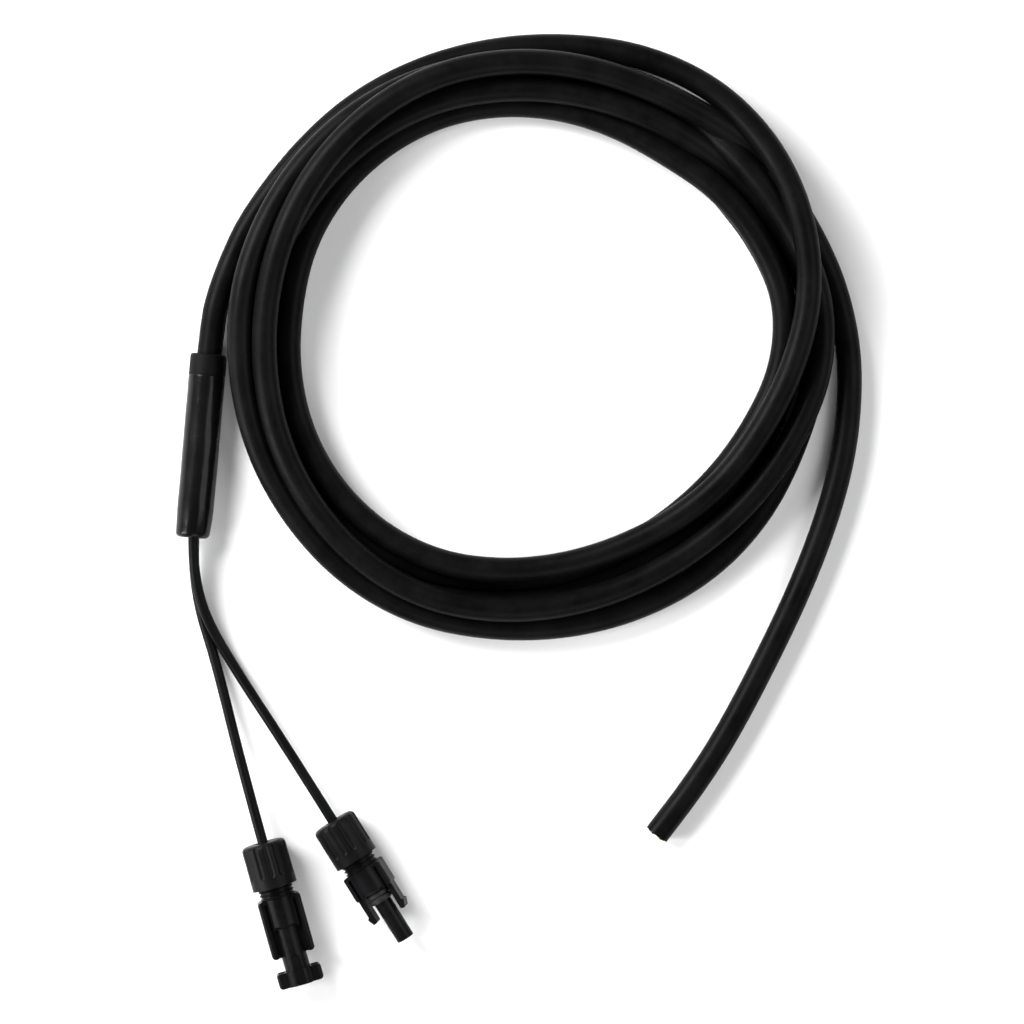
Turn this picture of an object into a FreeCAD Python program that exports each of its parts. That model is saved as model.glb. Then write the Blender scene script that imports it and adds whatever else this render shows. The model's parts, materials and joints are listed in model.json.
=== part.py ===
import FreeCAD, Part
import math
import os

# Solar cable connector: a coiled two-core cable that splits in a breakout sleeve into two thin leads,
# one with a male cable coupler and one with a female cable coupler. Millimetres.
# Frame: +Z up, Z = 0 is the surface that everything lies on. The origin is on that surface, under the
# middle of the box round the two couplers and the sleeve. +Y runs from the couplers to the sleeve.

# How far cutters, and bodies that are joined, run past the faces they meet
OVERLAP = 1.0

# How close an edge has to be to a face to count as lying on it
NEAR = 0.01

# Cables
CABLE_DIAMETER = 10.5
LEAD_DIAMETER = 4.4
LEAD_SPACING = LEAD_DIAMETER + 0.2
CORE_DIAMETER = 4.1
CONDUCTOR_DIAMETER = 2.2
CUT_END_LENGTH = 12.0
CUT_END_STEP = 0.4
CORE_GAP = 0.04
COIL_CENTRE = (100.0, 141.7)
COIL_OUTER = (130.4, 136.8, 131.0, 130.6, 127.4, 131.2, 130.0, 130.2)
COIL_INNER = (99.5, 91.5, 91.0, 94.5, 96.5, 99.5, 92.0, 91.0)
COIL_HEIGHT = 30.0
CROSSING_HEIGHT = 34.0
CROSSING_ANGLES = (-50.0, 160.0)
CROSSING_STEPS = 8

# Breakout sleeve
SLEEVE_TOP = (-36.2, 133.7)
SLEEVE_BOTTOM = (-42.9, 56.1)
SLEEVE_DIAMETER = 15.6
SLEEVE_HEIGHT = SLEEVE_DIAMETER / 2
SLEEVE_WALL = 0.9
SLEEVE_MOUTH_DIAMETER = 11.6
SLEEVE_END_ROUND = 5.5
SLEEVE_SHOULDER_ROUND = 2.0
SLEEVE_MOUTH_WALL = 1.3
SLEEVE_LIP = 0.8
SLEEVE_INNER_STEP = 0.6
COLLAR_DIAMETER = 15.2
COLLAR_LENGTH = 9.0
COLLAR_HIDDEN = 8.0
COLLAR_EDGE = ((0.7, 0), (0.2, 0.7), (0, 1.6))
FILLER_GAP = 0.2
FILLER_JOIN = 0.1
JACKET_IN_SLEEVE = 22.0
CORES_END = 66.0
FILLER_RECESS = 2.4

# Gland nut, the same on both couplers. Lengths run forwards from the nut's back face.
NUT_DIAMETER = 19.0
NUT_LENGTH = 19.0
NUT_BACK_ROUND = 2.2
NUT_BACK_WALL = 3.0
NUT_LEAD_HOLE = LEAD_DIAMETER + 1.8
NUT_CONE_SMALL = 8.8
NUT_CONE_END = 9.3
FLUTE_GROUPS = 4
FLUTES_PER_GROUP = 3
FLUTE_STEP = 26.0
FLUTE_RADIUS = 1.7
FLUTE_DEPTH = 0.65
FLUTE_END = 14.2
THREAD_DIAMETER = 14.9
THREAD_PITCH = 1.6
THREAD_DEPTH = 0.6
THREAD_CLEARANCE = 0.08
THREAD_ROOT_END = 0.35
THREAD_CREST_START = 0.6
THREAD_CREST_END = 0.75
NUT_TURNS = 5.0

# Clamp ring and lead seal
RING_FRONT = 8.9
RING_BORE = LEAD_DIAMETER + 0.6
RING_SLITS = 6
RING_SLIT_WIDTH = 0.6
RING_SLIT_LENGTH = 4.4
RING_CLEARANCE = 0.1
HOUSING_BACK = 9.1
SEAL_POCKET_DIAMETER = 11.2
SEAL_POCKET_END = 17.3
SEAL_BACK = 9.4
SEAL_FRONT = 17.0
SEAL_DIAMETER = 11.1
SEAL_RIBS = 4
SEAL_GROOVE = 0.45
SEAL_RIB_START = 0.3
SEAL_RIB_END = 0.7
SEAL_RIB_STEP = 0.05

# Contacts
CONTACT_CHANNEL_DIAMETER = 8.2
CONTACT_BACK = 17.8
CRIMP_DIAMETER = 5.0
CRIMP_BORE = 2.3
CRIMP_DEPTH = 8.2
CONTACT_COLLAR_DIAMETER = 6.9
CONTACT_COLLAR_WIDTH = 1.2
CONTACT_GAP = 0.1
CLIP_LENGTH = 4.6
CLIP_SLITS = 4
CLIP_SLIT_WIDTH = 0.8
CLIP_SLIT_SHARE = 0.6
CONTACT_PIN_DIAMETER = 4.0
PIN_TIP = 54.4
PIN_TIP_LENGTH = 1.0
PIN_TIP_INSET = 0.9
PIN_STEP = (0.2, 0.3)
SOCKET_DIAMETER = 5.9
SOCKET_BORE = 4.7
SOCKET_FLOOR = 40.0
SPRING_BORE = 4.06
SPRING_BACK = 44.0
SPRING_FRONT = 54.0
SPRING_PRESS = 0.04
SPRING_SLITS = 8
SPRING_SLIT_WIDTH = 0.3
SPRING_RIM = 2.5

# Male coupler
MALE_BACK = (-13.3, -72.6)
MALE_DIRECTION = (0.27, -0.963)
MALE_ROLL = -7.0
MALE_BODY_BACK = 23.8
MALE_BODY_FRONT = 48.6
MALE_BODY_WIDTH = 18.4
MALE_BODY_DEPTH = 9.6
MALE_BARREL_DIAMETER = 13.6
MALE_SHOULDER = 36.7
MALE_WING_GAP = 0.8
MALE_WING_WEB = 4.6
MALE_WEB_BACK = 33.5
MALE_CAVITY_BACK = 37.6
MALE_CAVITY_DIAMETER = 8.0
MALE_TUBE_DIAMETER = 10.6
MALE_FLANGE_BACK = 55.0
MALE_FRONT = 61.6
MALE_FLANGE_WIDTH = 19.1
MALE_FLANGE_DEPTH = 7.8
MALE_FLANGE_ROUND = 1.5
MALE_RIM_DIAMETER = 12.8
MALE_MOUTH_DIAMETER = 10.7
MALE_MOUTH_DEPTH = 5.2
KEYWAY_WIDTH = 3.8
KEYWAY_DEPTH = 0.45
KEYWAY_CUT = 3.0

# Female coupler
FEMALE_BACK = (16.3, -63.4)
FEMALE_DIRECTION = (0.528, -0.849)
FEMALE_ROLL = 12.0
FEMALE_BODY_BACK = 23.4
FEMALE_BODY_FRONT = 34.8
FEMALE_BODY_WIDTH = 17.8
FEMALE_BODY_DEPTH = 10.0
FEMALE_BARREL_DIAMETER = 13.8
FEMALE_COLLAR_STOP = 32.4
NOSE_DIAMETER = 7.6
NOSE_SEAT_DIAMETER = 8.4
NOSE_FRONT_ROUND = 0.3
NOSE_FRONT = 58.3
NOSE_BORE = 6.0
NOSE_LIP = 1.2
NOSE_LIP_HOLE = 5.0
NOSE_SEAL_DIAMETER = 10.4
NOSE_SEAL_LENGTH = 4.9
NOSE_SEAL_GROOVE = 0.5
NOSE_SEAL_EDGE = 0.6
NOSE_SEAL_TAPER = 0.9
NOSE_SEAL_RIBS = (0.4, 0.5, 0.6)

# Latch arms and the slots that take them
ARM_INNER = 5.95
ARM_THICKNESS = 2.35
ARM_DEPTH = 5.8
ARM_LENGTH = 11.7
ARM_BARB = 0.8
ARM_BARB_LENGTH = 3.4
ARM_BARB_RISE = (0.4, 0.3)
ARM_BARB_FALL = (0.2, 0.9)
ARM_TIP = 0.2
ARM_TIP_OUTER = (0.3, 0.7)
ARM_TIP_INNER = (0.5, 0.7)
ARM_CLEARANCE = 0.06
ARM_SWING_ROOM = 0.3
ARM_SEAT_RISE = 0.1
ARM_PIVOT_INSET = 1.3
SLOT_ROOM = 0.25
SLOT_INNER_ROOM = 0.15
BODY_EDGE_ROUND = 1.5
BODY_GROOVE_WIDTH = 1.2
BODY_GROOVE_DEPTH = 1.8
BODY_GROOVE_START = 1.5
BARREL_BACK_EDGE = 0.4
BARREL_FRONT_EDGE = 1.1

# Cord routes: points on the centre line, x, y, z.
LEAD_IN_ROUTE = (
    (-34.5, 153.6, SLEEVE_HEIGHT),
    (-16.7, 193.0, 5.3),
    (11.8, 229.0, 5.3),
    (47.8, 251.0, 5.3),
)
TAIL_ROUTE = (
    (205.8, 204.0, 5.3),
    (225.8, 165.0, 5.3),
    (235.8, 122.0, 5.3),
    (232.3, 79.0, 5.3),
    (212.8, 32.0, 5.3),
    (191.8, -12.0, 5.3),
    (173.8, -42.5, 5.3),
    (160.4, -60.0, 5.3),
)
MALE_LEAD_ROUTE = (
    (-43.4, 50.0, SLEEVE_HEIGHT - LEAD_SPACING / 2),
    (-41.2, 27.0, 2.25),
    (-33.8, 4.0, 2.25),
)
FEMALE_LEAD_ROUTE = (
    (-43.4, 50.0, SLEEVE_HEIGHT + LEAD_SPACING / 2),
    (-39.4, 25.5, 7.1),
    (-26.7, 2.0, 2.25),
)
LEAD_STRAIGHT = 30.5
BEND_SHARE = 0.45


def vec(x, y, z=0.0):
    return FreeCAD.Vector(x, y, z)


def cylinder(diameter, start, end):
    return Part.makeCylinder(diameter / 2, end - start, vec(0, 0, start))


def ring(outer, inner, start, end):
    return cylinder(outer, start, end).cut(cylinder(inner, start - OVERLAP, end + OVERLAP))


def block(x0, x1, y0, y1, z0, z1):
    return Part.makeBox(x1 - x0, y1 - y0, z1 - z0, vec(x0, y0, z0))


def turned(profile):
    """A solid of revolution about Z from (radius, height) corners."""
    corners = [vec(radius, 0, height) for radius, height in profile]
    wire = Part.makePolygon(corners + corners[:1])
    return Part.Face(wire).revolve(vec(0, 0, 0), vec(0, 0, 1), 360)


def round_edges(shape, radius, wanted):
    """Fillet the edges whose middle and direction the test accepts."""
    edges = []
    for edge in shape.Edges:
        middle = edge.CenterOfMass
        first = edge.valueAt(edge.FirstParameter)
        last = edge.valueAt(edge.LastParameter)
        if wanted(middle, last - first):
            edges.append(edge)
    return shape.makeFillet(radius, edges)


def slits(count, width, reach, start, end):
    """Radial cutters spread evenly round Z."""
    cutters = []
    for index in range(count):
        cutter = block(0, reach, -width / 2, width / 2, start, end)
        cutter.rotate(vec(0, 0, 0), vec(0, 0, 1), index * 360 / count)
        cutters.append(cutter)
    return Part.makeCompound(cutters)


def placement(back, direction, height, roll):
    """The frame of a coupler or sleeve: local Z forwards, local X to the side, then rolled."""
    forward = vec(direction[0], direction[1]).normalize()
    side = vec(0, 0, 1).cross(forward)
    turn = FreeCAD.Rotation(side, vec(0, 0, 1), forward, "ZYX")
    lean = FreeCAD.Rotation(vec(0, 0, 1), roll)
    return FreeCAD.Placement(vec(back[0], back[1], height), turn.multiply(lean))


def placed(shape, where):
    moved = shape.copy()
    moved.Placement = where.multiply(moved.Placement)
    return moved


def write(name, shape):
    shape.exportStep("parts/" + name + ".step")
    print(name, len(shape.Solids), "valid" if shape.isValid() else "INVALID", round(shape.Volume, 1))


# ---- cords ----


def rounded_path(points):
    """Straight runs joined by tangent arcs, each as large as its two runs allow."""
    edges = []
    radii = []
    start = points[0]
    for before, corner, after in zip(points, points[1:], points[2:]):
        run_in = corner - before
        run_out = after - corner
        trim = BEND_SHARE * min(run_in.Length, run_out.Length)
        half_turn = run_in.getAngle(run_out) / 2
        radius = trim / math.tan(half_turn)
        way_in = run_in.normalize()
        way_out = run_out.normalize()
        arc_start = corner - way_in * trim
        arc_end = corner + way_out * trim
        inwards = (way_out - way_in).normalize()
        arc_middle = corner + inwards * (math.hypot(trim, radius) - radius)
        edges.append(Part.LineSegment(start, arc_start).toShape())
        edges.append(Part.Arc(arc_start, arc_middle, arc_end).toShape())
        radii.append(radius)
        start = arc_end
    edges.append(Part.LineSegment(start, points[-1]).toShape())
    return Part.Wire(edges), radii


def cord_tube(name, points, diameter):
    path, radii = rounded_path([vec(*point) for point in points])
    direction = vec(*points[1]) - vec(*points[0])
    section = Part.makeCircle(diameter / 2, vec(*points[0]), direction)
    tube = path.makePipeShell([Part.Wire([section])], True, False)
    expected = math.pi * diameter ** 2 / 4 * path.Length
    print(name, "radii", [round(radius) for radius in radii], "length", round(path.Length, 1),
          "volume ratio", round(tube.Volume / expected, 4))
    return tube


def closed_outline(radii):
    """A smooth closed curve round the coil's centre through evenly spaced radii."""
    points = []
    for index, radius in enumerate(radii):
        angle = 2 * math.pi * index / len(radii)
        across = radius * math.cos(angle)
        along_y = radius * math.sin(angle)
        points.append(vec(COIL_CENTRE[0] + across, COIL_CENTRE[1] + along_y))
    curve = Part.BSplineCurve()
    curve.interpolate(points, PeriodicFlag=True)
    return Part.Wire([curve.toShape()])


def coil_ring(height):
    outer = Part.Face(closed_outline(COIL_OUTER)).extrude(vec(0, 0, height))
    inner = Part.Face(closed_outline(COIL_INNER)).extrude(vec(0, 0, height))
    return outer.cut(inner)


def coil():
    """The outer shape of the turns: a low ring, with a hump where the last turn crosses the others."""
    first, last = [math.radians(angle) for angle in CROSSING_ANGLES]
    reach = 2 * max(COIL_OUTER)
    centre = vec(*COIL_CENTRE)
    corners = [centre]
    for step in range(CROSSING_STEPS + 1):
        angle = first + (last - first) * step / CROSSING_STEPS
        corners.append(centre + vec(reach * math.cos(angle), reach * math.sin(angle)))
    sector = Part.Face(Part.makePolygon(corners + corners[:1])).extrude(vec(0, 0, CROSSING_HEIGHT))
    hump = coil_ring(CROSSING_HEIGHT).common(sector)
    return coil_ring(COIL_HEIGHT).fuse(hump).removeSplitter()


def along(start, direction, distance):
    length = math.hypot(*direction)
    return (start[0] + direction[0] / length * distance, start[1] + direction[1] / length * distance)


def cut_end(where):
    """The last stretch of the cable: the jacket, and in it two cores with copper conductors."""
    offset = (CORE_DIAMETER + CORE_GAP) / 2
    jacket = cylinder(CABLE_DIAMETER, 0, CUT_END_LENGTH)
    cores = []
    conductors = []
    for side in (-1, 1):
        core = cylinder(CORE_DIAMETER, 0, CUT_END_LENGTH + CUT_END_STEP)
        conductor = cylinder(CONDUCTOR_DIAMETER, 0, CUT_END_LENGTH + 2 * CUT_END_STEP)
        for piece in (core, conductor):
            piece.translate(vec(side * offset, 0))
        jacket = jacket.cut(core)
        cores.append(core.cut(conductor))
        conductors.append(conductor)
    write("cable_jacket_end", placed(jacket, where))
    write("cable_core_ends", placed(Part.makeCompound(cores), where))
    write("cable_conductor_ends", placed(Part.makeCompound(conductors), where))


def main_cable():
    write("cable_coil", coil())
    direction = (SLEEVE_TOP[0] - SLEEVE_BOTTOM[0], SLEEVE_TOP[1] - SLEEVE_BOTTOM[1])
    inside = along(SLEEVE_TOP, direction, -JACKET_IN_SLEEVE)
    start = (inside[0], inside[1], SLEEVE_HEIGHT)
    write("cable_lead_in", cord_tube("cable_lead_in", (start,) + LEAD_IN_ROUTE, CABLE_DIAMETER))
    write("cable_tail", cord_tube("cable_tail", TAIL_ROUTE, CABLE_DIAMETER))
    before, end = TAIL_ROUTE[-2:]
    way = (end[0] - before[0], end[1] - before[1])
    cut_end(placement(end[:2], way, end[2], 0))


# ---- breakout sleeve ----


def breakout():
    """Sleeve, collar, filler and cores, with local Z from the cable end to the lead end."""
    direction = (SLEEVE_BOTTOM[0] - SLEEVE_TOP[0], SLEEVE_BOTTOM[1] - SLEEVE_TOP[1])
    length = math.hypot(*direction)
    where = placement(SLEEVE_TOP, direction, SLEEVE_HEIGHT, 0)
    radius = SLEEVE_DIAMETER / 2
    inner = radius - SLEEVE_WALL
    mouth = SLEEVE_MOUTH_DIAMETER / 2
    collar_radius = COLLAR_DIAMETER / 2
    shoulder = length - SLEEVE_END_ROUND
    sleeve = turned([
        (inner, COLLAR_LENGTH + COLLAR_HIDDEN),
        (collar_radius, COLLAR_LENGTH + COLLAR_HIDDEN),
        (collar_radius, COLLAR_LENGTH),
        (radius, COLLAR_LENGTH),
        (radius, shoulder),
        (mouth + SLEEVE_MOUTH_WALL, length),
        (mouth, length),
        (mouth, length - SLEEVE_LIP),
        (inner, shoulder - SLEEVE_INNER_STEP),
    ])
    sleeve = round_edges(sleeve, SLEEVE_SHOULDER_ROUND,
                         lambda middle, way: abs(middle.z - shoulder) < NEAR and way.Length < NEAR)
    edge = [(collar_radius - inset, height) for inset, height in COLLAR_EDGE]
    collar = turned([(CABLE_DIAMETER / 2, 0)] + edge + [
        (collar_radius, COLLAR_LENGTH + COLLAR_HIDDEN),
        (CABLE_DIAMETER / 2, COLLAR_LENGTH + COLLAR_HIDDEN),
    ])
    filler_end = shoulder - SLEEVE_INNER_STEP
    filler = cylinder(2 * inner, JACKET_IN_SLEEVE + FILLER_GAP, filler_end)
    filler = filler.fuse(cylinder(2 * mouth, filler_end - FILLER_JOIN, length - FILLER_RECESS))
    cores = []
    for side in (-1, 1):
        hole = cylinder(LEAD_DIAMETER, JACKET_IN_SLEEVE, length + OVERLAP)
        core = cylinder(LEAD_DIAMETER, JACKET_IN_SLEEVE, CORES_END)
        for piece in (hole, core):
            piece.translate(vec(0, side * LEAD_SPACING / 2))
        filler = filler.cut(hole)
        cores.append(core)
    write("breakout_sleeve", placed(sleeve, where))
    write("sleeve_collar", placed(collar, where))
    write("breakout_filler", placed(filler, where))
    write("breakout_cores", placed(Part.makeCompound(cores), where))


def lead(name, level, route, back, direction):
    """A thin lead from its core in the sleeve to the seal in its coupler."""
    axis = (SLEEVE_BOTTOM[0] - SLEEVE_TOP[0], SLEEVE_BOTTOM[1] - SLEEVE_TOP[1])
    start = along(SLEEVE_TOP, axis, CORES_END)
    height = SLEEVE_HEIGHT + level * LEAD_SPACING / 2
    straight = along(back, direction, -LEAD_STRAIGHT)
    end = along(back, direction, SEAL_FRONT)
    coupler_height = NUT_DIAMETER / 2
    points = ((start[0], start[1], height),) + route
    points = points + ((straight[0], straight[1], coupler_height), (end[0], end[1], coupler_height))
    write(name, cord_tube(name, points, LEAD_DIAMETER))


# ---- pieces that both couplers share ----


def gland_nut():
    nut = cylinder(NUT_DIAMETER, 0, NUT_LENGTH)
    nut = round_edges(nut, NUT_BACK_ROUND, lambda middle, way: abs(middle.z) < NEAR)
    bore = THREAD_DIAMETER / 2 + THREAD_CLEARANCE
    hollow = turned([
        (0, -OVERLAP),
        (NUT_LEAD_HOLE / 2, -OVERLAP),
        (NUT_LEAD_HOLE / 2, NUT_BACK_WALL),
        (NUT_CONE_SMALL / 2, NUT_BACK_WALL),
        (bore, NUT_CONE_END),
        (bore, NUT_LENGTH + OVERLAP),
        (0, NUT_LENGTH + OVERLAP),
    ])
    flutes = []
    distance = NUT_DIAMETER / 2 + FLUTE_RADIUS - FLUTE_DEPTH
    flute_stop = FLUTE_END - FLUTE_DEPTH
    for group in range(FLUTE_GROUPS):
        for index in range(FLUTES_PER_GROUP):
            flute = cylinder(2 * FLUTE_RADIUS, -OVERLAP, flute_stop)
            flute = flute.fuse(Part.makeSphere(FLUTE_RADIUS, vec(0, 0, flute_stop)))
            flute.translate(vec(distance, 0))
            angle = 360 * group / FLUTE_GROUPS + FLUTE_STEP * (index - (FLUTES_PER_GROUP - 1) / 2)
            flute.rotate(vec(0, 0, 0), vec(0, 0, 1), angle)
            flutes.append(flute)
    return nut.cut(hollow).cut(Part.makeCompound(flutes))


def clamp_ring():
    """A slit cone that the nut presses on the lead."""
    slope = (THREAD_DIAMETER / 2 + THREAD_CLEARANCE - NUT_CONE_SMALL / 2) / (NUT_CONE_END - NUT_BACK_WALL)
    back = NUT_BACK_WALL + RING_CLEARANCE
    small = NUT_CONE_SMALL / 2 - RING_CLEARANCE
    large = small + slope * (RING_FRONT - back)
    cone = turned([
        (RING_BORE / 2, back),
        (small, back),
        (large, RING_FRONT),
        (RING_BORE / 2, RING_FRONT),
    ])
    return cone.cut(slits(RING_SLITS, RING_SLIT_WIDTH, 2 * large, back - OVERLAP, back + RING_SLIT_LENGTH))


def lead_seal():
    """A rubber bush round the lead, with ribs on its outside."""
    radius = SEAL_DIAMETER / 2
    step = (SEAL_FRONT - SEAL_BACK) / SEAL_RIBS
    profile = [(LEAD_DIAMETER / 2, SEAL_BACK)]
    for index in range(SEAL_RIBS):
        start = SEAL_BACK + index * step
        profile.append((radius - SEAL_GROOVE, start))
        profile.append((radius, start + SEAL_RIB_START * step))
        profile.append((radius, start + SEAL_RIB_END * step))
        profile.append((radius - SEAL_GROOVE, start + step - SEAL_RIB_STEP))
    profile.append((radius - SEAL_GROOVE, SEAL_FRONT))
    profile.append((LEAD_DIAMETER / 2, SEAL_FRONT))
    return turned(profile)


def contact_clip(collar_back):
    """A slit tube that keeps the contact's collar against its stop."""
    front = collar_back - CONTACT_GAP
    back = front - CLIP_LENGTH
    tube = ring(CONTACT_CHANNEL_DIAMETER - CONTACT_GAP, CRIMP_DIAMETER + CONTACT_GAP, back, front)
    slit_end = back + CLIP_SLIT_SHARE * CLIP_LENGTH
    return tube.cut(slits(CLIP_SLITS, CLIP_SLIT_WIDTH, CONTACT_CHANNEL_DIAMETER, back - OVERLAP, slit_end))


def crimped_conductor():
    return cylinder(CONDUCTOR_DIAMETER, SEAL_FRONT, CONTACT_BACK + CRIMP_DEPTH - CONTACT_GAP)


def crimp_bore():
    return cylinder(CRIMP_BORE, CONTACT_BACK - OVERLAP, CONTACT_BACK + CRIMP_DEPTH)


def threaded_spigot(front):
    """The housing's back, with thread ridges as far as the body."""
    crest = THREAD_DIAMETER / 2
    root = crest - THREAD_DEPTH
    profile = [(0, HOUSING_BACK), (root, HOUSING_BACK)]
    count = int((front - HOUSING_BACK) / THREAD_PITCH)
    for index in range(count):
        start = front - (count - index) * THREAD_PITCH
        profile.append((root, start + THREAD_ROOT_END * THREAD_PITCH))
        profile.append((crest, start + THREAD_CREST_START * THREAD_PITCH))
        profile.append((crest, start + THREAD_CREST_END * THREAD_PITCH))
        profile.append((root, start + THREAD_PITCH))
    profile.append((root, front + OVERLAP))
    profile.append((0, front + OVERLAP))
    return turned(profile)


def winged_body(width, depth, barrel, back, shoulder, front):
    """A flat body with rounded edges, a round barrel up to the shoulder, and a groove beside the barrel."""
    body = block(-width / 2, width / 2, -depth / 2, depth / 2, back, front)
    body = round_edges(body, BODY_EDGE_ROUND, lambda middle, way: abs(middle.x) > width / 2 - NEAR)
    radius = barrel / 2
    body = body.fuse(turned([
        (0, back),
        (radius - BARREL_BACK_EDGE, back),
        (radius, back + BARREL_BACK_EDGE),
        (radius, shoulder - BARREL_FRONT_EDGE),
        (radius - BARREL_FRONT_EDGE, shoulder),
        (0, shoulder),
    ]))
    groove_inner = barrel / 2 - BODY_GROOVE_WIDTH
    for side in (-1, 1):
        for face in (-1, 1):
            near = side * groove_inner
            far = side * (groove_inner + BODY_GROOVE_WIDTH)
            low = face * (depth / 2 - BODY_GROOVE_DEPTH)
            high = face * depth
            groove = block(min(near, far), max(near, far), min(low, high), max(low, high),
                           back + BODY_GROOVE_START, front + OVERLAP)
            body = body.cut(groove)
    return body


def back_hollow(channel_end):
    """The seal pocket and the contact channel."""
    pocket = cylinder(SEAL_POCKET_DIAMETER, HOUSING_BACK - OVERLAP, SEAL_POCKET_END)
    return pocket.fuse(cylinder(CONTACT_CHANNEL_DIAMETER, SEAL_POCKET_END - OVERLAP, channel_end))


# ---- male coupler ----


def arm_slots(start, end):
    """The two openings in the flange that the other coupler's arms pass through."""
    half = ARM_DEPTH / 2 + SLOT_ROOM
    outer = ARM_INNER + ARM_THICKNESS + SLOT_ROOM
    inner = ARM_INNER - SLOT_INNER_ROOM
    right = block(inner, outer, -half, half, start, end)
    left = block(-outer, -inner, -half, half, start, end)
    return right.fuse(left)


def keyway(surface, start, end):
    """A shallow groove with a round back end, on the top and the bottom of a round part."""
    floor = surface / 2 - KEYWAY_DEPTH
    cutters = []
    for face in (-1, 1):
        low = min(face * floor, face * (floor + KEYWAY_CUT))
        cutter = block(-KEYWAY_WIDTH / 2, KEYWAY_WIDTH / 2, low, low + KEYWAY_CUT, start, end)
        round_end = Part.makeCylinder(KEYWAY_WIDTH / 2, KEYWAY_CUT, vec(0, low, start), vec(0, 1, 0))
        cutters.append(cutter.fuse(round_end))
    return Part.makeCompound(cutters)


def male_housing():
    body = winged_body(MALE_BODY_WIDTH, MALE_BODY_DEPTH, MALE_BARREL_DIAMETER,
                       MALE_BODY_BACK, MALE_SHOULDER, MALE_BODY_FRONT)
    wing = MALE_TUBE_DIAMETER / 2 + MALE_WING_GAP
    web = MALE_WING_WEB / 2
    for low, high in ((-MALE_BODY_DEPTH, -web), (web, MALE_BODY_DEPTH)):
        body = body.cut(block(-wing, wing, low, high, MALE_SHOULDER, MALE_BODY_FRONT + OVERLAP))
    tube = cylinder(MALE_TUBE_DIAMETER, MALE_SHOULDER - OVERLAP, MALE_FRONT)
    tube = tube.cut(keyway(MALE_TUBE_DIAMETER, MALE_BODY_FRONT + KEYWAY_WIDTH / 2, MALE_FRONT + OVERLAP))
    half_width = MALE_FLANGE_WIDTH / 2
    half_depth = MALE_FLANGE_DEPTH / 2
    flange = block(-half_width, half_width, -half_depth, half_depth, MALE_FLANGE_BACK, MALE_FRONT)
    flange = round_edges(flange, MALE_FLANGE_ROUND, lambda middle, way: abs(middle.x) > half_width - NEAR)
    rim = cylinder(MALE_RIM_DIAMETER, MALE_FLANGE_BACK, MALE_FRONT)
    rim = rim.cut(keyway(MALE_RIM_DIAMETER, MALE_FLANGE_BACK - KEYWAY_WIDTH, MALE_FRONT + OVERLAP))
    flange = flange.fuse(rim).cut(arm_slots(MALE_FLANGE_BACK - OVERLAP, MALE_FRONT + OVERLAP))
    housing = threaded_spigot(MALE_BODY_BACK).fuse([body, tube, flange])
    hollow = back_hollow(MALE_WEB_BACK)
    hollow = hollow.fuse([
        cylinder(CRIMP_DIAMETER + CONTACT_GAP, MALE_WEB_BACK - OVERLAP, MALE_CAVITY_BACK + OVERLAP),
        cylinder(MALE_CAVITY_DIAMETER, MALE_CAVITY_BACK, MALE_FRONT + OVERLAP),
        cylinder(MALE_MOUTH_DIAMETER, MALE_FRONT - MALE_MOUTH_DEPTH, MALE_FRONT + OVERLAP),
    ])
    return housing.cut(hollow)


def pin_contact():
    collar = MALE_WEB_BACK - CONTACT_GAP
    body = turned([
        (0, CONTACT_BACK),
        (CRIMP_DIAMETER / 2, CONTACT_BACK),
        (CRIMP_DIAMETER / 2, collar - CONTACT_COLLAR_WIDTH),
        (CONTACT_COLLAR_DIAMETER / 2, collar - CONTACT_COLLAR_WIDTH),
        (CONTACT_COLLAR_DIAMETER / 2, collar),
        (CRIMP_DIAMETER / 2, collar),
        (CRIMP_DIAMETER / 2, MALE_CAVITY_BACK - PIN_STEP[0]),
        (CONTACT_PIN_DIAMETER / 2, MALE_CAVITY_BACK + PIN_STEP[1]),
        (CONTACT_PIN_DIAMETER / 2, PIN_TIP - PIN_TIP_LENGTH),
        (CONTACT_PIN_DIAMETER / 2 - PIN_TIP_INSET, PIN_TIP),
        (0, PIN_TIP),
    ])
    return body.cut(crimp_bore())


def male_coupler():
    where = placement(MALE_BACK, MALE_DIRECTION, NUT_DIAMETER / 2, MALE_ROLL)
    collar_back = MALE_WEB_BACK - CONTACT_GAP - CONTACT_COLLAR_WIDTH
    write("male_housing", placed(male_housing(), where))
    write("male_nut", placed(gland_nut(), where))
    write("male_clamp_ring", placed(clamp_ring(), where))
    write("male_lead_seal", placed(lead_seal(), where))
    write("male_pin_contact", placed(pin_contact(), where))
    write("male_contact_clip", placed(contact_clip(collar_back), where))
    write("male_conductor", placed(crimped_conductor(), where))
    print("male axis", tuple(where.Rotation.multVec(vec(0, 0, 1))))
    print("male side", tuple(where.Rotation.multVec(vec(1, 0, 0))))


# ---- female coupler ----


def arm_pivot():
    """The hinge line's side distance and its distance from the nut's back face."""
    return ARM_INNER + ARM_THICKNESS / 2, FEMALE_BODY_FRONT - ARM_PIVOT_INSET


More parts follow.
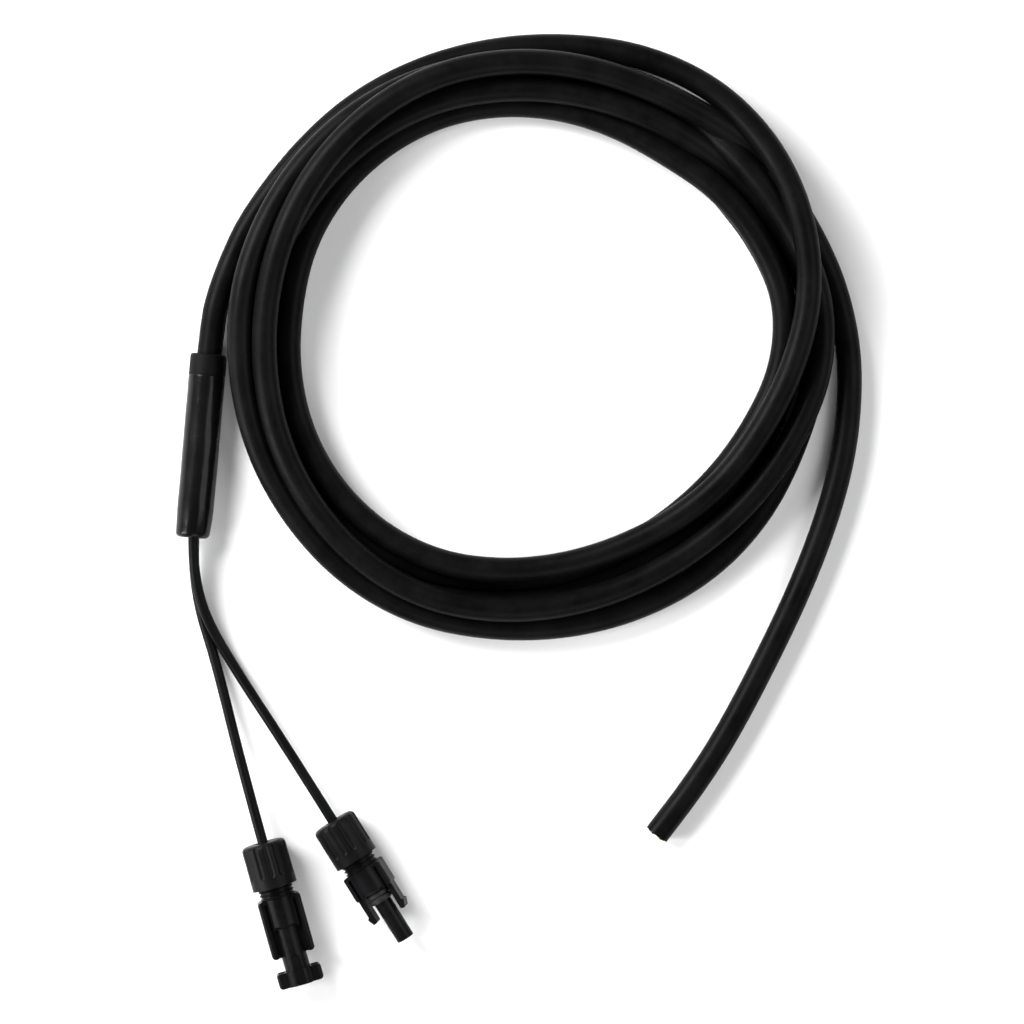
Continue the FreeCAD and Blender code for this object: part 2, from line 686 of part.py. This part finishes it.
def latch_arm(side):
    """An arm with a round root, which ends in a barb that points outwards."""
    middle, root = arm_pivot()
    inner = ARM_INNER
    outer = ARM_INNER + ARM_THICKNESS
    tip = FEMALE_BODY_FRONT + ARM_LENGTH
    barb = tip - ARM_BARB_LENGTH
    outline = [
        (inner, root),
        (outer, root),
        (outer, barb - ARM_BARB_RISE[0]),
        (outer + ARM_BARB, barb + ARM_BARB_RISE[1]),
        (outer + ARM_BARB - ARM_BARB_FALL[0], barb + ARM_BARB_FALL[1]),
        (outer - ARM_TIP_OUTER[0], tip - ARM_TIP),
        (outer - ARM_TIP_OUTER[1], tip),
        (inner + ARM_TIP_INNER[0], tip - ARM_TIP),
        (inner, tip - ARM_TIP_INNER[1]),
    ]
    corners = [vec(side * x, -ARM_DEPTH / 2, z) for x, z in outline]
    plate = Part.Face(Part.makePolygon(corners + corners[:1])).extrude(vec(0, ARM_DEPTH, 0))
    hinge_end = vec(side * middle, -ARM_DEPTH / 2, root)
    knuckle = Part.makeCylinder(ARM_THICKNESS / 2, ARM_DEPTH, hinge_end, vec(0, 1, 0))
    return plate.fuse(knuckle).removeSplitter()


def arm_pocket(side):
    middle, root = arm_pivot()
    half = ARM_DEPTH / 2 + ARM_CLEARANCE
    seat_end = vec(side * middle, -half, root)
    seat = Part.makeCylinder(ARM_THICKNESS / 2 + ARM_CLEARANCE, 2 * half, seat_end, vec(0, 1, 0))
    room = ARM_THICKNESS / 2 + ARM_SWING_ROOM
    near = side * middle - room
    top = FEMALE_BODY_FRONT + OVERLAP
    return seat.fuse(block(near, near + 2 * room, -half, half, root + ARM_SEAT_RISE, top))


def female_housing():
    body = winged_body(FEMALE_BODY_WIDTH, FEMALE_BODY_DEPTH, FEMALE_BARREL_DIAMETER,
                       FEMALE_BODY_BACK, FEMALE_BODY_FRONT, FEMALE_BODY_FRONT)
    nose = cylinder(NOSE_DIAMETER, FEMALE_BODY_FRONT - OVERLAP, NOSE_FRONT)
    nose = round_edges(nose, NOSE_FRONT_ROUND, lambda middle, way: abs(middle.z - NOSE_FRONT) < NEAR)
    seat = cylinder(NOSE_SEAT_DIAMETER, FEMALE_BODY_FRONT - OVERLAP, FEMALE_BODY_FRONT + NOSE_SEAL_LENGTH)
    housing = threaded_spigot(FEMALE_BODY_BACK).fuse([body, nose, seat])
    hollow = back_hollow(FEMALE_COLLAR_STOP).fuse([
        cylinder(NOSE_BORE, FEMALE_COLLAR_STOP - OVERLAP, NOSE_FRONT - NOSE_LIP),
        cylinder(NOSE_LIP_HOLE, NOSE_FRONT - NOSE_LIP - OVERLAP, NOSE_FRONT + OVERLAP),
    ])
    housing = housing.cut(hollow)
    return housing.cut(arm_pocket(1)).cut(arm_pocket(-1))


def socket_contact():
    collar = FEMALE_COLLAR_STOP - CONTACT_GAP
    front = NOSE_FRONT - NOSE_LIP - CONTACT_GAP
    body = turned([
        (0, CONTACT_BACK),
        (CRIMP_DIAMETER / 2, CONTACT_BACK),
        (CRIMP_DIAMETER / 2, collar - CONTACT_COLLAR_WIDTH),
        (CONTACT_COLLAR_DIAMETER / 2, collar - CONTACT_COLLAR_WIDTH),
        (CONTACT_COLLAR_DIAMETER / 2, collar),
        (SOCKET_DIAMETER / 2, collar),
        (SOCKET_DIAMETER / 2, front),
        (SOCKET_BORE / 2, front),
        (SOCKET_BORE / 2, SOCKET_FLOOR),
        (0, SOCKET_FLOOR),
    ])
    return body.cut(crimp_bore())


def contact_spring():
    """A louvred sleeve in the socket that grips the other coupler's pin."""
    sleeve = ring(SOCKET_BORE - SPRING_PRESS, SPRING_BORE, SPRING_BACK, SPRING_FRONT)
    slit_start = SPRING_BACK + SPRING_RIM
    slit_end = SPRING_FRONT - SPRING_RIM
    return sleeve.cut(slits(SPRING_SLITS, SPRING_SLIT_WIDTH, SOCKET_BORE, slit_start, slit_end))


def nose_seal():
    outer = NOSE_SEAL_DIAMETER / 2
    start = FEMALE_BODY_FRONT
    end = FEMALE_BODY_FRONT + NOSE_SEAL_LENGTH
    rise, valley, fall = [start + share * NOSE_SEAL_LENGTH for share in NOSE_SEAL_RIBS]
    return turned([
        (NOSE_SEAT_DIAMETER / 2, start),
        (outer - NOSE_SEAL_GROOVE, start),
        (outer, start + NOSE_SEAL_EDGE),
        (outer, rise),
        (outer - NOSE_SEAL_GROOVE, valley),
        (outer, fall),
        (outer, end - NOSE_SEAL_TAPER),
        (outer - NOSE_SEAL_TAPER, end),
        (NOSE_SEAT_DIAMETER / 2, end),
    ])


def female_coupler():
    where = placement(FEMALE_BACK, FEMALE_DIRECTION, NUT_DIAMETER / 2, FEMALE_ROLL)
    collar_back = FEMALE_COLLAR_STOP - CONTACT_GAP - CONTACT_COLLAR_WIDTH
    write("female_housing", placed(female_housing(), where))
    write("female_latch_right", placed(latch_arm(1), where))
    write("female_latch_left", placed(latch_arm(-1), where))
    write("female_nut", placed(gland_nut(), where))
    write("female_clamp_ring", placed(clamp_ring(), where))
    write("female_lead_seal", placed(lead_seal(), where))
    write("female_socket_contact", placed(socket_contact(), where))
    write("female_contact_spring", placed(contact_spring(), where))
    write("female_contact_clip", placed(contact_clip(collar_back), where))
    write("female_conductor", placed(crimped_conductor(), where))
    write("female_nose_seal", placed(nose_seal(), where))
    middle, root = arm_pivot()
    for side in (1, -1):
        print("latch hinge", side, tuple(where.multVec(vec(side * middle, 0, root))))
    print("female axis", tuple(where.Rotation.multVec(vec(0, 0, 1))))
    print("female up", tuple(where.Rotation.multVec(vec(0, 1, 0))))


os.makedirs("parts", exist_ok=True)
main_cable()
breakout()
lead("male_lead", -1, MALE_LEAD_ROUTE, MALE_BACK, MALE_DIRECTION)
lead("female_lead", 1, FEMALE_LEAD_ROUTE, FEMALE_BACK, FEMALE_DIRECTION)
male_coupler()
female_coupler()
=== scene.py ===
import bpy
import json
import math
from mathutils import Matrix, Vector, noise


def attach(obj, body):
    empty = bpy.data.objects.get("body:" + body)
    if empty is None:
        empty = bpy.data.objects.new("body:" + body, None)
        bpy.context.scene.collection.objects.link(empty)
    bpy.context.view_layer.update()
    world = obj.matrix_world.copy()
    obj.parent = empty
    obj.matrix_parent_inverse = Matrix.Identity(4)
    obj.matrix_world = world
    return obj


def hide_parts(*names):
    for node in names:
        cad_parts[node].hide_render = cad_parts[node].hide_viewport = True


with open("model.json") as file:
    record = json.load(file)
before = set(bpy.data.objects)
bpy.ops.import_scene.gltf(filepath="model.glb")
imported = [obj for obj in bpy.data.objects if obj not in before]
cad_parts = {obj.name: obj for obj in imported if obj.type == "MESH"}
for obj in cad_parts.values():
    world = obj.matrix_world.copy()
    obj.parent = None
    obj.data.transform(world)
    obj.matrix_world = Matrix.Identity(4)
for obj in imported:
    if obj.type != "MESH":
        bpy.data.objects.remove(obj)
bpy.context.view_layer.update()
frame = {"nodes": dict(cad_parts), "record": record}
nodes = frame["nodes"]
MM = 0.001


# ---- materials ----


def tree(name):
    material = bpy.data.materials.new(name)
    material.use_nodes = True
    return material, material.node_tree.nodes, material.node_tree.links


GLOSS_FINER = 4
MARKS_FINER = 2.2
MARK_WIDTH = 0.02
RELIEF_DEPTH = 0.0002
LOWEST_ROUGHNESS = 0.02


def noise_node(n, l, place, scale, detail):
    node = n.new("ShaderNodeTexNoise")
    node.inputs["Scale"].default_value = scale
    node.inputs["Detail"].default_value = detail
    l.new(place.outputs["Object"], node.inputs["Vector"])
    return node


def moulded(name, dark, light, rough, rough_spread, grain, bump, scratches=0.0, metallic=0.0,
            specular=0.5, coat=0.0, coat_rough=0.08, patch=60.0):
    """A plastic, rubber or metal skin: colour patches, fine grain, uneven gloss and faint handling marks."""
    material, n, l = tree(name)
    shader = n["Principled BSDF"]
    place = n.new("ShaderNodeTexCoord")
    patches = noise_node(n, l, place, patch, 4.0)
    ramp = n.new("ShaderNodeValToRGB")
    ramp.color_ramp.elements[0].position = 0.35
    ramp.color_ramp.elements[0].color = (*dark, 1)
    ramp.color_ramp.elements[1].position = 0.7
    ramp.color_ramp.elements[1].color = (*light, 1)
    l.new(patches.outputs["Fac"], ramp.inputs["Fac"])
    l.new(ramp.outputs["Color"], shader.inputs["Base Color"])
    gloss = noise_node(n, l, place, patch * GLOSS_FINER, 6.0)
    spread = n.new("ShaderNodeMapRange")
    spread.inputs["From Min"].default_value = 0.3
    spread.inputs["From Max"].default_value = 0.7
    spread.inputs["To Min"].default_value = max(LOWEST_ROUGHNESS, rough - rough_spread)
    spread.inputs["To Max"].default_value = rough + rough_spread
    l.new(gloss.outputs["Fac"], spread.inputs["Value"])
    l.new(spread.outputs["Result"], shader.inputs["Roughness"])
    fine = noise_node(n, l, place, grain, 3.0)
    relief = n.new("ShaderNodeBump")
    relief.inputs["Strength"].default_value = bump
    relief.inputs["Distance"].default_value = RELIEF_DEPTH
    height = fine.outputs["Fac"]
    if scratches:
        marks = n.new("ShaderNodeTexVoronoi")
        marks.feature = "DISTANCE_TO_EDGE"
        marks.inputs["Scale"].default_value = patch * MARKS_FINER
        l.new(place.outputs["Object"], marks.inputs["Vector"])
        line = n.new("ShaderNodeMapRange")
        line.inputs["From Max"].default_value = MARK_WIDTH
        line.inputs["To Min"].default_value = -scratches
        line.inputs["To Max"].default_value = 0.0
        l.new(marks.outputs["Distance"], line.inputs["Value"])
        add = n.new("ShaderNodeMath")
        l.new(height, add.inputs[0])
        l.new(line.outputs["Result"], add.inputs[1])
        height = add.outputs["Value"]
    l.new(height, relief.inputs["Height"])
    l.new(relief.outputs["Normal"], shader.inputs["Normal"])
    shader.inputs["Metallic"].default_value = metallic
    shader.inputs["Specular IOR Level"].default_value = specular
    shader.inputs["Coat Weight"].default_value = coat
    shader.inputs["Coat Roughness"].default_value = coat_rough
    return material


jacket = moulded("cable_sheath", (0.0022, 0.0022, 0.0024), (0.0048, 0.0048, 0.0052),
                 0.38, 0.06, 2600, 0.10, scratches=0.12, specular=0.04)
lead_jacket = moulded("lead_sheath", (0.0024, 0.0024, 0.0026), (0.0045, 0.0045, 0.0049),
                      0.34, 0.05, 3000, 0.08, specular=0.05)
core_rubber = moulded("core_insulation", (0.010, 0.010, 0.010), (0.020, 0.020, 0.020),
                      0.55, 0.08, 2400, 0.2, specular=0.3)
copper = moulded("copper_strand", (0.50, 0.22, 0.11), (0.72, 0.38, 0.22),
                 0.30, 0.08, 3800, 0.5, metallic=1.0)
shrink = moulded("shrink_skin", (0.0020, 0.0020, 0.0022), (0.0040, 0.0040, 0.0044),
                 0.24, 0.04, 900, 0.05, specular=0.12, coat=0.05, coat_rough=0.10, patch=25)
collar = moulded("collar_wrap", (0.003, 0.003, 0.003), (0.006, 0.006, 0.0065),
                 0.5, 0.08, 1800, 0.25, specular=0.05)
filler = moulded("sealing_filler", (0.004, 0.004, 0.004), (0.010, 0.010, 0.010),
                 0.5, 0.1, 1200, 0.4, specular=0.3)
housing = moulded("housing_plastic", (0.0026, 0.0026, 0.0029), (0.0050, 0.0050, 0.0055),
                  0.30, 0.05, 2600, 0.05, specular=0.07)
nut_plastic = moulded("nut_plastic", (0.0034, 0.0034, 0.0037), (0.0062, 0.0062, 0.0067),
                      0.40, 0.05, 2600, 0.1, specular=0.07)
clamp = moulded("clamp_plastic", (0.008, 0.008, 0.008), (0.015, 0.015, 0.015),
                0.45, 0.05, 2600, 0.1)
seal = moulded("seal_rubber", (0.005, 0.005, 0.005), (0.010, 0.010, 0.010),
               0.5, 0.06, 2200, 0.15, specular=0.3)
tin = moulded("tinned_contact", (0.60, 0.59, 0.56), (0.80, 0.79, 0.76),
              0.22, 0.06, 4200, 0.15, metallic=1.0)
steel = moulded("clip_steel", (0.45, 0.45, 0.45), (0.62, 0.62, 0.62),
                0.3, 0.06, 4200, 0.2, metallic=1.0)

FINISH = {
    "cable_jacket": jacket, "lead_jacket": lead_jacket, "core_insulation": core_rubber, "copper": copper,
    "shrink_sleeve": shrink, "collar_tape": collar, "filler": filler, "housing_plastic": housing,
    "nut_plastic": nut_plastic, "clamp_plastic": clamp, "seal_rubber": seal, "contact_metal": tin,
    "clip_steel": steel,
}
for part in frame["record"]["subparts"]:
    piece = nodes[part["node"]]
    material = FINISH[part["material_slot"]]
    if piece.material_slots:
        for slot in piece.material_slots:
            slot.material = material
    else:
        piece.data.materials.append(material)


# ---- camera ----

VIEW_CENTRE = (0.0919, 0.0670)
VIEW_WIDTH = 0.432
VIEW_HEIGHT = 1.35
SHARP_LEVEL = 0.010
lens = bpy.data.cameras.new("view")
lens.sensor_width = 36.0
lens.lens = 36.0 * VIEW_HEIGHT / VIEW_WIDTH
camera = bpy.data.objects.new("view", lens)
camera.location = (VIEW_CENTRE[0], VIEW_CENTRE[1], VIEW_HEIGHT + SHARP_LEVEL)
bpy.context.scene.collection.objects.link(camera)
bpy.context.scene.camera = camera


# ---- cords ----

CABLE = 10.5
LEAD = 4.4


def cord_curve(name, points, diameter, material):
    """A curve of one NURBS spline whose control points are given in millimetres."""
    curve = bpy.data.curves.new(name, "CURVE")
    curve.dimensions = "3D"
    spline = curve.splines.new("NURBS")
    spline.points.add(len(points) - 1)
    for point, place in zip(spline.points, points):
        point.co = (place[0] * MM, place[1] * MM, place[2] * MM, 1.0)
    spline.order_u = 3
    spline.use_endpoint_u = True
    spline.resolution_u = 10
    curve.bevel_depth = diameter / 2 * MM
    curve.bevel_resolution = 10
    curve.use_fill_caps = True
    curve.materials.append(material)
    cord = bpy.data.objects.new(name, curve)
    bpy.context.scene.collection.objects.link(cord)
    return cord


# The coil: turns run clockwise seen from above. A place on it is counted in quarter turns from the left.
COIL_CENTRE = (100.0, 141.7)
INNER_RADII = (103.3, 96.4, 91.4, 92.3, 96.3, 97.5, 98.5, 100.8, 99.8, 93.2, 90.9, 95.6)
STEPS = 24
ROUNDS = 500
SWEEPS = 3
LEVEL_PULL = 0.03
SINK = 0.03
SIDE_STIFFNESS = 0.06
LEVEL_STIFFNESS = 0.2
LOWEST = CABLE / 2 + 0.05
# Quarter turns, distance outside the innermost line, level, how firmly it keeps to that distance
STATIONS = (
    (0.25, 24.4, 5.4, 0.6), (0.42, 20.8, 5.3, 0.6), (0.58, 19.8, 5.3, 0.6), (0.75, 20.2, 5.3, 0.6),
    (0.92, 22.4, 5.3, 0.6), (1.08, 25.4, 5.3, 0.6), (1.25, 29.8, 5.3, 0.6), (1.42, 31.0, 9.0, 0.6),
    (1.6, 26.2, 17.0, 0.6), (1.8, 17.0, 23.0, 0.6),
    (1.88, 11.0, 24.0, 0.6), (1.97, 5.2, 25.0, 0.6), (2.07, 1.2, 24.0, 0.6), (2.19, 0.3, 23.0, 0.6),
    (2.45, 1.6, 19.0, 0.5), (2.6, 1.2, 17.0, 0.5), (2.86, 0.0, 15.0, 0.5), (3.0, 0.0, 14.0, 0.5),
    (3.5, -0.6, 6.0, 0.3), (4.0, 0.0, 5.3, 0.3), (5.0, 0.0, 5.3, 0.3), (6.0, 0.2, 15.0, 0.1),
    (7.0, 3.8, 5.3, 0.1), (8.0, 9.8, 5.3, 0.3), (9.0, 10.5, 5.3, 0.3), (10.0, -0.6, 5.3, 0.1),
    (11.0, 13.9, 5.3, 0.1), (11.6, 17.6, 5.3, 0.3), (12.0, 15.0, 5.3, 0.3), (12.3, 8.0, 13.0, 0.3),
    (12.6, 5.0, 14.0, 0.3), (13.0, 4.8, 14.0, 0.2), (14.0, 12.0, 5.3, 0.3),
    (14.25, 17.0, 5.3, 0.4), (14.42, 23.4, 5.3, 0.4), (14.58, 27.4, 5.3, 0.4), (14.8, 27.4, 5.3, 0.4),
    (15.0, 25.0, 5.3, 0.4), (15.25, 21.6, 8.0, 0.4), (15.5, 17.9, 12.0, 0.4), (16.0, 18.0, 14.0, 0.5),
    (16.25, 17.0, 14.0, 0.5), (16.6, 15.6, 14.4, 0.5), (17.0, 15.6, 14.4, 0.5), (17.4, 15.0, 13.0, 0.3),
    (18.0, 14.6, 14.0, 0.4), (19.0, 17.0, 16.0, 0.3), (20.0, 7.4, 19.0, 0.5), (20.25, 8.0, 22.0, 0.5),
    (20.5, 10.2, 24.0, 0.6), (20.75, 13.6, 24.5, 0.6), (21.0, 15.8, 23.5, 0.6), (21.2, 16.4, 20.0, 0.6),
    (21.4, 17.6, 16.0, 0.6), (21.5, 19.6, 13.0, 0.6),
    (21.63, 22.3, 10.0, 0.6), (21.8, 23.9, 5.3, 0.5), (22.0, 24.6, 5.3, 0.5), (22.25, 33.0, 5.3, 0.5),
)


def ease(t):
    return (1 - math.cos(math.pi * t)) / 2


def station(place):
    """Distance, level and firmness at a place on the coil, blended smoothly between stations."""
    for before, after in zip(STATIONS, STATIONS[1:]):
        if place <= after[0]:
            t = ease((place - before[0]) / (after[0] - before[0]))
            return [a + (b - a) * t for a, b in zip(before[1:], after[1:])]
    return list(STATIONS[-1][1:])


def inner_line(angle):
    """Distance from the coil's centre to the innermost line, as a smooth curve through INNER_RADII."""
    count = len(INNER_RADII)
    turn = (angle / (2 * math.pi)) % 1.0 * count
    index = int(turn)
    t = turn - index
    a, b, c, d = (INNER_RADII[(index + k) % count] for k in (-1, 0, 1, 2))
    square = t * t * (a - 2.5 * b + 2 * c - d / 2)
    cube = t * t * t * (1.5 * (b - c) + (d - a) / 2)
    curve = b + t * (c - a) / 2 + square + cube
    return curve + CABLE / 2


def coil_points(first, last, shown):
    """Lays the turns. Each keeps near its own distance, sinks, bends little and is pushed off the others."""
    count = int(round((last - first) / 4 * STEPS)) + 1
    places = [first + 4 * i / STEPS for i in range(count)]
    wanted = [station(place) for place in places]
    out = [w[0] for w in wanted]
    level = [w[1] for w in wanted]
    for settling in range(ROUNDS):
        for i in range(count):
            out[i] += wanted[i][2] * (wanted[i][0] - out[i])
            level[i] += LEVEL_PULL * (wanted[i][1] - level[i]) - SINK
        for values, pull in ((out, SIDE_STIFFNESS), (level, LEVEL_STIFFNESS)):
            smooth = values[:]
            for i in range(1, count - 1):
                smooth[i] += pull * (values[i - 1] + values[i + 1] - 2 * values[i])
            values[:] = smooth
        for sweep in range(SWEEPS):
            for i in range(count):
                for j in range(i + STEPS, count, STEPS):
                    dx = out[j] - out[i]
                    dz = level[j] - level[i]
                    gap = math.hypot(dx, dz)
                    if gap < CABLE:
                        push = (CABLE - gap) / 2 / max(gap, 0.01)
                        out[i] -= dx * push
                        out[j] += dx * push
                        level[i] -= dz * push
                        level[j] += dz * push
            level = [max(LOWEST, z) for z in level]
    tight = math.cos(math.pi / STEPS)
    points = []
    for place, distance, z in zip(places, out, level):
        if place > shown:
            break
        angle = math.pi - place * math.pi / 2
        radius = (inner_line(angle) + distance) / tight
        x = COIL_CENTRE[0] + radius * math.cos(angle)
        y = COIL_CENTRE[1] + radius * math.sin(angle)
        points.append((x, y, z))
    return points


LEAD_IN_ROUTE = [
    (-38.1, 111.8, 7.8),
    (-34.8, 147.0, 7.8),
    (-31.6, 160.0, 7.4),
    (-26.4, 174.0, 6.6),
]
TAIL_ROUTE = [
    (223.2, 177.5, 5.3),
    (232.6, 149.5, 5.3),
    (235.6, 122.0, 5.3),
    (232.0, 86.0, 5.3),
    (217.6, 42.0, 5.3),
    (193.2, -8.5, 5.3),
    (173.8, -42.5, 5.3),
    (160.4, -60.0, 5.3),
]
MALE_LEAD_ROUTE = [
    (-41.9, 67.9, 5.5),
    (-43.4, 50.0, 5.5),
    (-41.2, 27.0, 2.25),
    (-33.8, 4.0, 2.25),
    (-21.5, -43.2, 9.5),
    (-8.7, -89.0, 9.5),
]
FEMALE_LEAD_ROUTE = [
    (-41.9, 67.9, 10.1),
    (-43.4, 50.0, 10.1),
    (-39.4, 25.5, 7.1),
    (-26.7, 2.0, 2.25),
    (0.2, -37.5, 9.5),
    (25.3, -77.8, 9.5),
]

# The turns settle as far as the last station, but are drawn as far as the tail's first point.
TURNS_DRAWN = 21.7
route = LEAD_IN_ROUTE + coil_points(STATIONS[0][0], STATIONS[-1][0], TURNS_DRAWN) + TAIL_ROUTE
main = cord_curve("main_cable", route, CABLE, jacket)
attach(main, "harness")
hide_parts("cable_coil", "cable_lead_in", "cable_tail")

male = cord_curve("male_lead_sheath", MALE_LEAD_ROUTE, LEAD, lead_jacket)
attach(male, "harness")
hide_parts("male_lead")

female = cord_curve("female_lead_sheath", FEMALE_LEAD_ROUTE, LEAD, lead_jacket)
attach(female, "harness")
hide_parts("female_lead")


# ---- breakout sleeve ----

SLEEVE_TOP = Vector((-36.2, 133.7, 7.8))
SLEEVE_BOTTOM = Vector((-42.9, 56.1, 7.8))
SLEEVE_LENGTH = (SLEEVE_BOTTOM - SLEEVE_TOP).length
SPOKES = 128


def lathe(name, profile, material, change):
    """A closed ring round the sleeve's line from (radius, distance from its upper end) corners."""
    forward = (SLEEVE_BOTTOM - SLEEVE_TOP).normalized()
    up = Vector((0, 0, 1))
    side = up.cross(forward)
    verts = []
    faces = []
    rows = len(profile)
    for spoke in range(SPOKES):
        angle = 2 * math.pi * spoke / SPOKES
        for radius, distance in profile:
            across, upward = change(radius, distance, angle)
            verts.append((SLEEVE_TOP + forward * distance + side * across + up * upward) * MM)
    for spoke in range(SPOKES):
        after = (spoke + 1) % SPOKES
        for row in range(rows):
            below = (row + 1) % rows
            here = spoke * rows
            there = after * rows
            faces.append((here + row, here + below, there + below, there + row))
    mesh = bpy.data.meshes.new(name)
    mesh.from_pydata(verts, [], faces)
    mesh.update()
    for face in mesh.polygons:
        face.use_smooth = True
    mesh.materials.append(material)
    piece = bpy.data.objects.new(name, mesh)
    bpy.context.scene.collection.objects.link(piece)
    return piece


def run(points, step):
    """Corner points with more put between them, at most a step apart."""
    dense = []
    for a, b in zip(points, points[1:]):
        count = max(1, int(math.dist(a, b) / step))
        for i in range(count):
            dense.append((a[0] + (b[0] - a[0]) * i / count, a[1] + (b[1] - a[1]) * i / count))
    dense.append(points[-1])
    return dense


def corner(radius, distance, size, steps=8):
    """An outer corner rounded towards the lead end."""
    return [(radius - size + size * math.cos(math.pi / 2 * i / steps),
             distance - size + size * math.sin(math.pi / 2 * i / steps)) for i in range(steps + 1)]


PINCH = 0.10
PINCH_LENGTH = 13.0


def shrunk(radius, distance, angle):
    """Heat-shrunk skin: soft lumps over what is inside, and a pinched, slightly lopsided lead end."""
    end = max(0.0, (distance - SLEEVE_LENGTH + PINCH_LENGTH) / PINCH_LENGTH)
    pinch = 1 - PINCH * end * end * (0.5 + 0.5 * math.cos(angle))
    lumps = noise.noise(Vector((math.cos(angle) * 1.3, math.sin(angle) * 1.3, distance * 0.09)))
    fine = noise.noise(Vector((math.cos(angle) * 3.0, math.sin(angle) * 3.0, distance * 0.35 + 9)))
    size = radius * pinch + (0.10 * lumps + 0.03 * fine - 0.08) * min(1.0, radius / 7)
    return size * math.cos(angle), size * math.sin(angle)


def wrapped(radius, distance, angle):
    """Wound tape: faint ripples on the outside, none in the bore."""
    ripple = noise.noise(Vector((math.cos(angle) * 2.0, math.sin(angle) * 2.0, distance * 0.5 + 4)))
    size = radius + 0.06 * ripple if radius > 6 else radius
    return size * math.cos(angle), size * math.sin(angle)


end = SLEEVE_LENGTH
skin = [(7.0, 9.1), (7.55, 9.0), (7.74, 9.15), (7.8, 9.5)]
skin = skin[:-1] + run([(7.8, 9.5), (7.78, end - 12.0), (7.55, end - 2.6)], 0.8)
skin = skin + corner(7.55, end, 2.0)[1:]
skin = skin + [(5.5, end - 0.05), (5.25, end - 0.4), (5.2, end - 2.2), (6.9, end - 3.2)]
sleeve = lathe("sleeve_skin", skin, shrink, shrunk)
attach(sleeve, "harness")
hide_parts("breakout_sleeve")

band = [(5.3, 0.4), (5.5, 0.0), (6.7, 0.05), (7.3, 0.3), (7.6, 0.9)]
band = band + run([(7.68, 1.6), (7.72, 8.7)], 0.5) + [(7.6, 9.0), (7.2, 9.25), (5.3, 9.3)]
wrap = lathe("collar_band", band, collar, wrapped)
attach(wrap, "harness")
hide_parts("sleeve_collar")


# ---- floor and light ----

floor_mesh = bpy.data.meshes.new("floor")
FLOOR_REACH = 4
corners = [(x * FLOOR_REACH, y * FLOOR_REACH, 0) for x, y in ((-1, -1), (1, -1), (1, 1), (-1, 1))]
floor_mesh.from_pydata(corners, [], [(0, 1, 2, 3)])
floor = bpy.data.objects.new("floor", floor_mesh)
bpy.context.scene.collection.objects.link(floor)
floor.location = (0, 0, -0.0002)
white, n, l = tree("floor_white")
n["Principled BSDF"].inputs["Base Color"].default_value = (0.9, 0.9, 0.9, 1)
n["Principled BSDF"].inputs["Roughness"].default_value = 0.9
floor_mesh.materials.append(white)


def soft_light(name, place, target, size, power):
    light = bpy.data.lights.new(name, "AREA")
    light.shape = "RECTANGLE"
    light.size = size[0]
    light.size_y = size[1]
    light.energy = power
    lamp = bpy.data.objects.new(name, light)
    lamp.location = place
    lamp.rotation_euler = (Vector(target) - Vector(place)).to_track_quat("-Z", "Y").to_euler()
    bpy.context.scene.collection.objects.link(lamp)
    return lamp


AIM = (0.09, 0.07, 0.0)
soft_light("key", (-0.95, 0.85, 1.0), AIM, (0.8, 0.8), 44)
soft_light("side", (-1.3, -0.3, 0.75), AIM, (0.5, 1.0), 24)
soft_light("fill", (1.3, 0.3, 1.3), AIM, (1.2, 1.2), 14)
soft_light("front", (0.4, -1.4, 1.2), AIM, (1.2, 1.2), 13)
world = bpy.data.worlds.new("studio")
bpy.context.scene.world = world
world.use_nodes = True
n = world.node_tree.nodes
l = world.node_tree.links
place = n.new("ShaderNodeTexCoord")
split = n.new("ShaderNodeSeparateXYZ")
l.new(place.outputs["Generated"], split.inputs["Vector"])
sky = n.new("ShaderNodeValToRGB")
sky.color_ramp.elements[0].position = 0.0
sky.color_ramp.elements[0].color = (0.62, 0.62, 0.62, 1)
sky.color_ramp.elements[1].position = 0.7
sky.color_ramp.elements[1].color = (0.035, 0.035, 0.037, 1)
l.new(split.outputs["Z"], sky.inputs["Fac"])
l.new(sky.outputs["Color"], n["Background"].inputs["Color"])
n["Background"].inputs["Strength"].default_value = 1.0
bpy.context.scene.view_settings.view_transform = "Standard"

bpy.context.view_layer.update()
